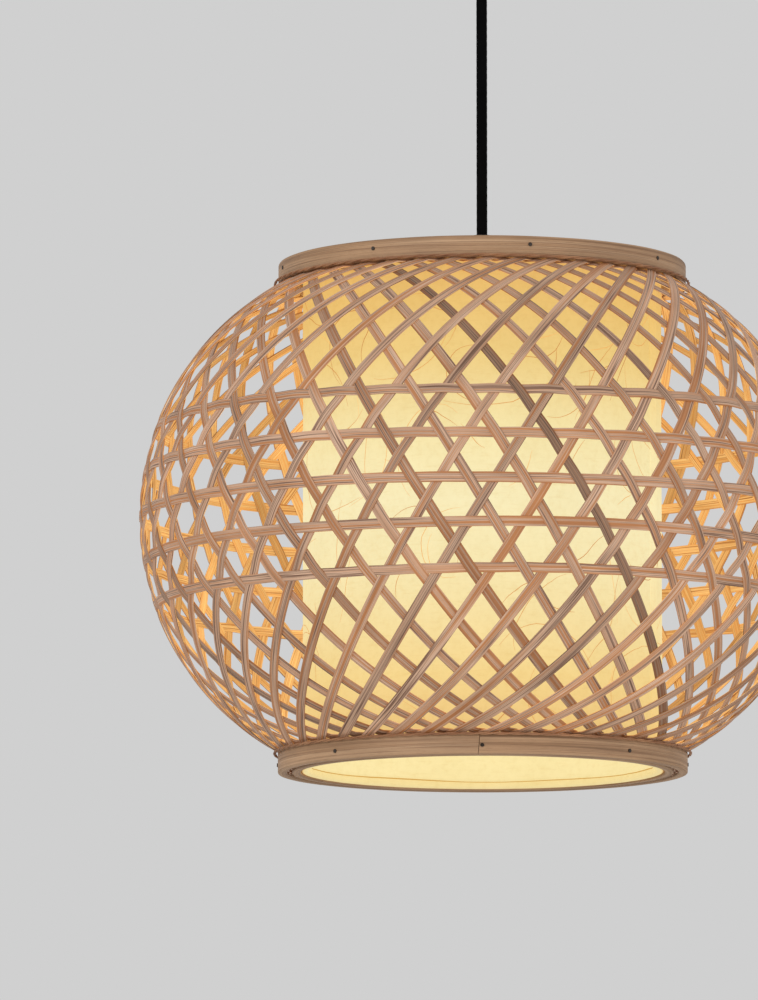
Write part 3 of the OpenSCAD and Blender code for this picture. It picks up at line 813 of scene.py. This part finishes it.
def makeFibres():
    # long hairs of pulp that lie curled on the outside of the paper
    chance = random.Random(sheetLook["seed"])
    maker = newMaker()
    radius = sheetLook["fibreR"]
    steps = sheetLook["fibreSteps"]
    margin = sheetLook["fibreMargin"]
    for _ in range(sheetLook["fibres"]):
        turn = chance.uniform(0, 360)
        z = chance.uniform(sheetLow.z + 2 * margin, sheetHigh.z - 2 * margin)
        heading = chance.uniform(0, 2 * math.pi)
        curl = chance.gauss(0, sheetLook["fibreCurl"])
        length = chance.uniform(*sheetLook["fibreLength"])
        middles = []
        for i in range(steps + 1):
            r = sheetR + sheetRipple(turn, z) + radius * 0.3
            middles.append((roundPoint(r, turn, z), turn))
            heading += curl * length / steps + chance.gauss(0, sheetLook["fibreJitter"])
            turn += math.degrees(math.cos(heading) * length / steps / sheetR)
            z = min(sheetHigh.z - margin, max(sheetLow.z + margin, z + math.sin(heading) * length / steps))
        rings = []
        for i, (middle, at) in enumerate(middles):
            along = (middles[min(i + 1, steps)][0] - middles[max(i - 1, 0)][0]).normalized()
            outward = roundPoint(1, at, 0)
            across = along.cross(outward).normalized()
            thin = radius * (0.35 + 0.65 * math.sin(math.pi * i / steps))
            rings.append([middle + across * thin * x + outward * thin * y
                          for x, y in ((-1, 0), (0, 0.9), (1, 0), (0, -0.5))])
        lengths = running([m for m, _ in middles])
        addSweep(maker, rings, lengths, [radius * k for k in range(5)], tone=chance.uniform(0, 1))
    piece = makePiece(maker, "paperFibres", [fibreFinish()], "pendant")


hemLook = {
    "innerSkin": 0.00005,  # from the wire to the near face of the paper round it
    "outerSkin": 0.00042,  # and to the far face
    "tailLean": 0.0009,  # how far the loose end leans back to the sheet
    "tailFrom": 0.0009,  # distance past the wire's middle at which the loose end starts
    "tailLength": 0.0022,
    "tailSteps": 4,
    "edgeWaves": [(0.0004, 3, 50), (0.0003, 7, 0)],
    "puckers": [(0.00012, 31, 0), (0.0001, 53, 20)],
    "tint": (0.99, 0.95, 0.88, 1),
    "shade": 0.94,
    "glueLine": (236, 196, 128),
    "glueShade": 0.7,
}
hemPaper = paperFinish("hemPaper", "glowInside", hemLook["shade"], hemLook["tint"])
hemGlue = paperFinish("hemGlue", "glowInside", hemLook["glueShade"], fromScreen(*hemLook["glueLine"]))


def makeHem(name, node, side):
    # the end of the sheet folded in round its wire, with a line of glue along the folded edge
    low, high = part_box(node)
    wireR = (high.z - low.z) / 2
    ringR = (high.x - low.x) / 2 - wireR
    z = (low.z + high.z) / 2
    tailSteps = hemLook["tailSteps"]
    maker = newMaker()
    rings = []
    for i in range(sheetLook["steps"]):
        turn = 360 * i / sheetLook["steps"]
        tailLength = hemLook["tailLength"] + waves(turn, hemLook["edgeWaves"])
        pucker = waves(turn, hemLook["puckers"])
        outline = []
        for skin in ("outerSkin", "innerSkin"):
            reach = wireR + hemLook[skin]
            edge = []
            for degrees in range(0, 181, 15):
                a = math.radians(degrees)
                edge.append((ringR + reach * math.cos(a), z + side * reach * math.sin(a)))
            for k in range(1, tailSteps + 1):
                lean = hemLook["tailLean"] * k / tailSteps
                past = hemLook["tailFrom"] + tailLength * k / tailSteps
                edge.append((ringR - reach + lean, z - side * past))
            outline.extend(edge if skin == "outerSkin" else reversed(edge))
        if side > 0:
            outline.reverse()
        rings.append([roundPoint(r + pucker, turn, height) for r, height in outline])
    along = [2 * math.pi * ringR * i / sheetLook["steps"] for i in range(sheetLook["steps"] + 1)]
    across = [0.0006 * k for k in range(len(rings[0]) + 1)]
    edgeSide = len(rings[0]) // 2 - 1
    addSweep(maker, rings, along, across, pathClosed=True, finish=lambda i, j: int(abs(j - edgeSide) < 2))
    piece = makePiece(maker, name, [hemPaper, hemGlue], "pendant")


makeSheet()
makeSeam()
makeFibres()
makeHem("topHem", "top_hem_wire", 1)
makeHem("bottomHem", "bottom_hem_wire", -1)
print("diffuser made")


# ---- bulb globe
globeLook = {
    "steps": 96,
    "rows": 44,
    "wall": 0.0012,
    "mouth": 0.02,  # radians from straight down at which the wall stops
    "tipShare": 0.022,  # radius of the blown tip as a share of the globe's
    "tipSides": 24,
    "tipRings": 3,
    "glow": (255, 226, 172),
    "glowPale": (255, 236, 196),
    "glowStrength": 2.6,
}


def globeFinish():
    material, tree, shader = newMaterial("opalGlobe")
    place = scaledPlace(tree, "Object", (40, 40, 40))
    cloud = addNoise(tree, place, detail=2)
    grain = addNoise(tree, scaledPlace(tree, "Object", (2600, 2600, 2600)), detail=2)
    warm = fromScreen(*globeLook["glow"])
    glow = addRamp(tree, cloud, [(0.3, warm), (0.7, fromScreen(*globeLook["glowPale"]))])
    link(tree, glow, shader.inputs["Emission Color"])
    link(tree, addMix(tree, cloud, (0.86, 0.84, 0.8, 1), (0.9, 0.89, 0.86, 1)), shader.inputs["Base Color"])
    shader.inputs["Emission Strength"].default_value = globeLook["glowStrength"]
    addRoughness(tree, shader, grain, 0.28, 0.42)
    addBump(tree, shader, grain, 0.08, 0.0001)
    return material


def makeGlobe():
    low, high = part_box("bulb_dome")
    radius = (high.x - low.x) / 2
    centreZ = low.z + radius
    rim = math.asin((high.z - centreZ) / radius)
    rings = []
    for i in range(globeLook["steps"]):
        turn = 360 * i / globeLook["steps"]
        outside = []
        inside = []
        for k in range(globeLook["rows"] + 1):
            a = rim + (globeLook["mouth"] - math.pi / 2 - rim) * k / globeLook["rows"]
            outside.append(roundPoint(radius * math.cos(a), turn, centreZ + radius * math.sin(a)))
            r = radius - globeLook["wall"]
            inside.append(roundPoint(r * math.cos(a), turn, centreZ + r * math.sin(a)))
        rings.append(outside + inside[::-1])
    maker = newMaker()
    along = [2 * math.pi * radius * i / globeLook["steps"] for i in range(globeLook["steps"] + 1)]
    across = running([(0, 0, 0.001 * k) for k in range(len(rings[0]) + 1)])
    addSweep(maker, rings, along, across, pathClosed=True)
    sides = globeLook["tipSides"]
    tip = []  # the small blown tip closes the globe below
    for k in range(globeLook["tipRings"]):
        tipR = radius * globeLook["tipShare"] * (1 - k / globeLook["tipRings"])
        tipZ = centreZ - radius - 0.00002 + 0.00001 * k
        tip.append([roundPoint(tipR, 360 * i / sides, tipZ) for i in range(sides)])
    addSweep(maker, tip, [0.001 * k for k in range(len(tip))], [0.001 * k for k in range(sides + 1)])
    piece = makePiece(maker, "bulbGlobe", [globeFinish()], "bulb")
    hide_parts("bulb_dome")


makeGlobe()
print("bulb made")


# ---- finishes of the pieces that keep their shape
def paintedMetal(name, colour, roughness):
    material, tree, shader = newMaterial(name)
    peel = addNoise(tree, scaledPlace(tree, "Object", (1500, 1500, 1500)), detail=3)
    dust = addNoise(tree, scaledPlace(tree, "Object", (55, 55, 55)), detail=4)
    base = fromScreen(*colour)
    paler = fromScreen(*[min(255, c + 16) for c in colour])
    link(tree, addRamp(tree, dust, [(0.35, base), (0.75, paler)]), shader.inputs["Base Color"])
    addRoughness(tree, shader, dust, roughness - 0.08, roughness + 0.12)
    addBump(tree, shader, peel, 0.18, 0.0002)
    return material


def bareMetal(name, colour, dull, roughness, stretch):
    # drawn or rolled metal: fine lines along one way and a duller patch here and there
    material, tree, shader = newMaterial(name)
    line = addNoise(tree, scaledPlace(tree, "Object", stretch), detail=4)
    patch = addNoise(tree, scaledPlace(tree, "Object", (120, 120, 120)), detail=4)
    tones = addRamp(tree, patch, [(0.35, fromScreen(*dull)), (0.65, fromScreen(*colour))])
    link(tree, tones, shader.inputs["Base Color"])
    shader.inputs["Metallic"].default_value = 1.0
    addRoughness(tree, shader, line, roughness - 0.1, roughness + 0.12)
    addBump(tree, shader, line, 0.12, 0.0001)
    return material


def mouldedPlastic(name, colour, roughness):
    material, tree, shader = newMaterial(name)
    grain = addNoise(tree, scaledPlace(tree, "Object", (2200, 2200, 2200)), detail=2)
    cloud = addNoise(tree, scaledPlace(tree, "Object", (70, 70, 70)), detail=3)
    base = fromScreen(*colour)
    other = fromScreen(*[max(0, c - 10) for c in colour])
    link(tree, addRamp(tree, cloud, [(0.35, other), (0.65, base)]), shader.inputs["Base Color"])
    addRoughness(tree, shader, grain, roughness - 0.05, roughness + 0.1)
    addBump(tree, shader, grain, 0.15, 0.0001)
    return material


def ballFinish():
    # the same braid where there is no length to follow, on the cord's hidden ends
    material, tree, shader = newMaterial("cordEnd")
    thread = addNoise(tree, scaledPlace(tree, "Object", (2600, 2600, 900)), detail=3)
    black, worn = fromScreen(*cordLook["black"]), fromScreen(*cordLook["worn"])
    link(tree, addRamp(tree, thread, [(0.3, black), (0.75, worn)]), shader.inputs["Base Color"])
    addRoughness(tree, shader, thread, 0.75, 0.95)
    addBump(tree, shader, thread, 0.4, 0.0002)
    return material


finishes = {
    "zincSteel": bareMetal("zincSteel", (176, 178, 180), (136, 138, 140), 0.42, (900, 120, 900)),
    "blackPaint": paintedMetal("blackPaint", (20, 20, 21), 0.42),
    "blackPlastic": mouldedPlastic("blackPlastic", (24, 24, 25), 0.38),
    "whitePlastic": mouldedPlastic("whitePlastic", (232, 230, 224), 0.4),
    "brass": bareMetal("brass", (206, 170, 98), (158, 124, 66), 0.3, (300, 300, 1800)),
    "nickel": bareMetal("nickel", (196, 192, 184), (158, 154, 146), 0.26, (400, 400, 1500)),
    "brownWire": mouldedPlastic("brownWire", (96, 52, 26), 0.35),
    "blueWire": mouldedPlastic("blueWire", (38, 84, 160), 0.35),
    "ceramic": mouldedPlastic("ceramic", (226, 222, 212), 0.55),
    "nailSteel": bareMetal("nailSteel", (92, 84, 78), (52, 46, 42), 0.45, (1800, 1800, 1800)),
    "cordEnd": ballFinish(),
}
hardware = {
    "zincSteel": [
        "ceiling_plate", "gland_nut", "cross_bar", "cross_bar_screws", "top_hem_wire", "bottom_hem_wire",
    ],
    "blackPaint": ["canopy", "canopy_screws"],
    "blackPlastic": ["canopy_gland", "cord_grip", "holder_cap", "holder_skirt", "bulb_insulator"],
    "whitePlastic": ["terminal_block", "gland_screw", "bulb_housing", "bulb_board"],
    "brass": ["terminal_screws", "nipple", "grip_nut", "screw_shell", "contact_tongue"],
    "nickel": ["bulb_cap", "bulb_tip"],
    "brownWire": ["lead_live", "holder_leads"],
    "blueWire": ["lead_neutral"],
    "ceramic": ["holder_insert"],
    "nailSteel": ["top_nails", "bottom_nails"],
    "cordEnd": ["cord_tail", "cord_bend"],
}
for finishName, nodes in hardware.items():
    for node in nodes:
        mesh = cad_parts[node].data
        mesh.materials.clear()
        mesh.materials.append(finishes[finishName])
print("finishes given")


# ---- studio: a pale floor far below, an even grey room and three soft lamps
studio = {
    "floorZ": -1.6,
    "floorSize": 14,
    "floorRows": 8,
    "floorTones": [(214, 213, 211), (220, 219, 217)],
    "room": (208, 208, 208),
    "roomStrength": 1.0,
    "lamps": [  # name, place, aim, size in metres and watts
        ("frontLamp", (-2.1, -3.0, 0.55), (0, 0, -0.35), (2.2, 2.2), 41),
        ("sideLamp", (2.6, -1.4, 0.1), (0, 0, -0.35), (1.6, 2.2), 10),
        ("lowLamp", (0.4, -1.0, -1.45), (0, 0, -0.5), (1.8, 1.8), 8),
    ],
}


def softLamp(name, place, aim, size, power):
    data = bpy.data.lights.new(name, "AREA")
    data.shape = "RECTANGLE"
    data.size, data.size_y = size
    data.energy = power
    lamp = bpy.data.objects.new(name, data)
    lamp.location = place
    lamp.rotation_euler = (Vector(aim) - Vector(place)).to_track_quat("-Z", "Y").to_euler()
    lamp.visible_camera = False  # a lamp in front of a low view doesn't hide the light
    bpy.context.scene.collection.objects.link(lamp)


def makeStudio():
    maker = newMaker()
    half = studio["floorSize"] / 2
    rows = studio["floorRows"]
    places = [half * (2 * k / rows - 1) for k in range(rows + 1)]
    rings = [[Vector((x, y, studio["floorZ"])) for y in places] for x in places]
    addSweep(maker, rings, places, places, ringClosed=False)
    mesh = bpy.data.meshes.new("floor")
    mesh.from_pydata(maker["points"], [], maker["faces"])
    floor = bpy.data.objects.new("floor", mesh)
    material, tree, shader = newMaterial("paleFloor")
    cloud = addNoise(tree, scaledPlace(tree, "Object", (2, 2, 2)), detail=2)
    dull, bright = [fromScreen(*tone) for tone in studio["floorTones"]]
    link(tree, addRamp(tree, cloud, [(0.3, dull), (0.7, bright)]), shader.inputs["Base Color"])
    shader.inputs["Roughness"].default_value = 0.85
    mesh.materials.append(material)
    bpy.context.scene.collection.objects.link(floor)
    world = bpy.data.worlds.new("room")
    world.use_nodes = True
    background = world.node_tree.nodes["Background"]
    background.inputs["Color"].default_value = fromScreen(*studio["room"])
    background.inputs["Strength"].default_value = studio["roomStrength"]
    bpy.context.scene.world = world
    for lamp in studio["lamps"]:
        softLamp(*lamp)
    bpy.context.scene.view_settings.view_transform = "Standard"


makeStudio()
print("studio made")
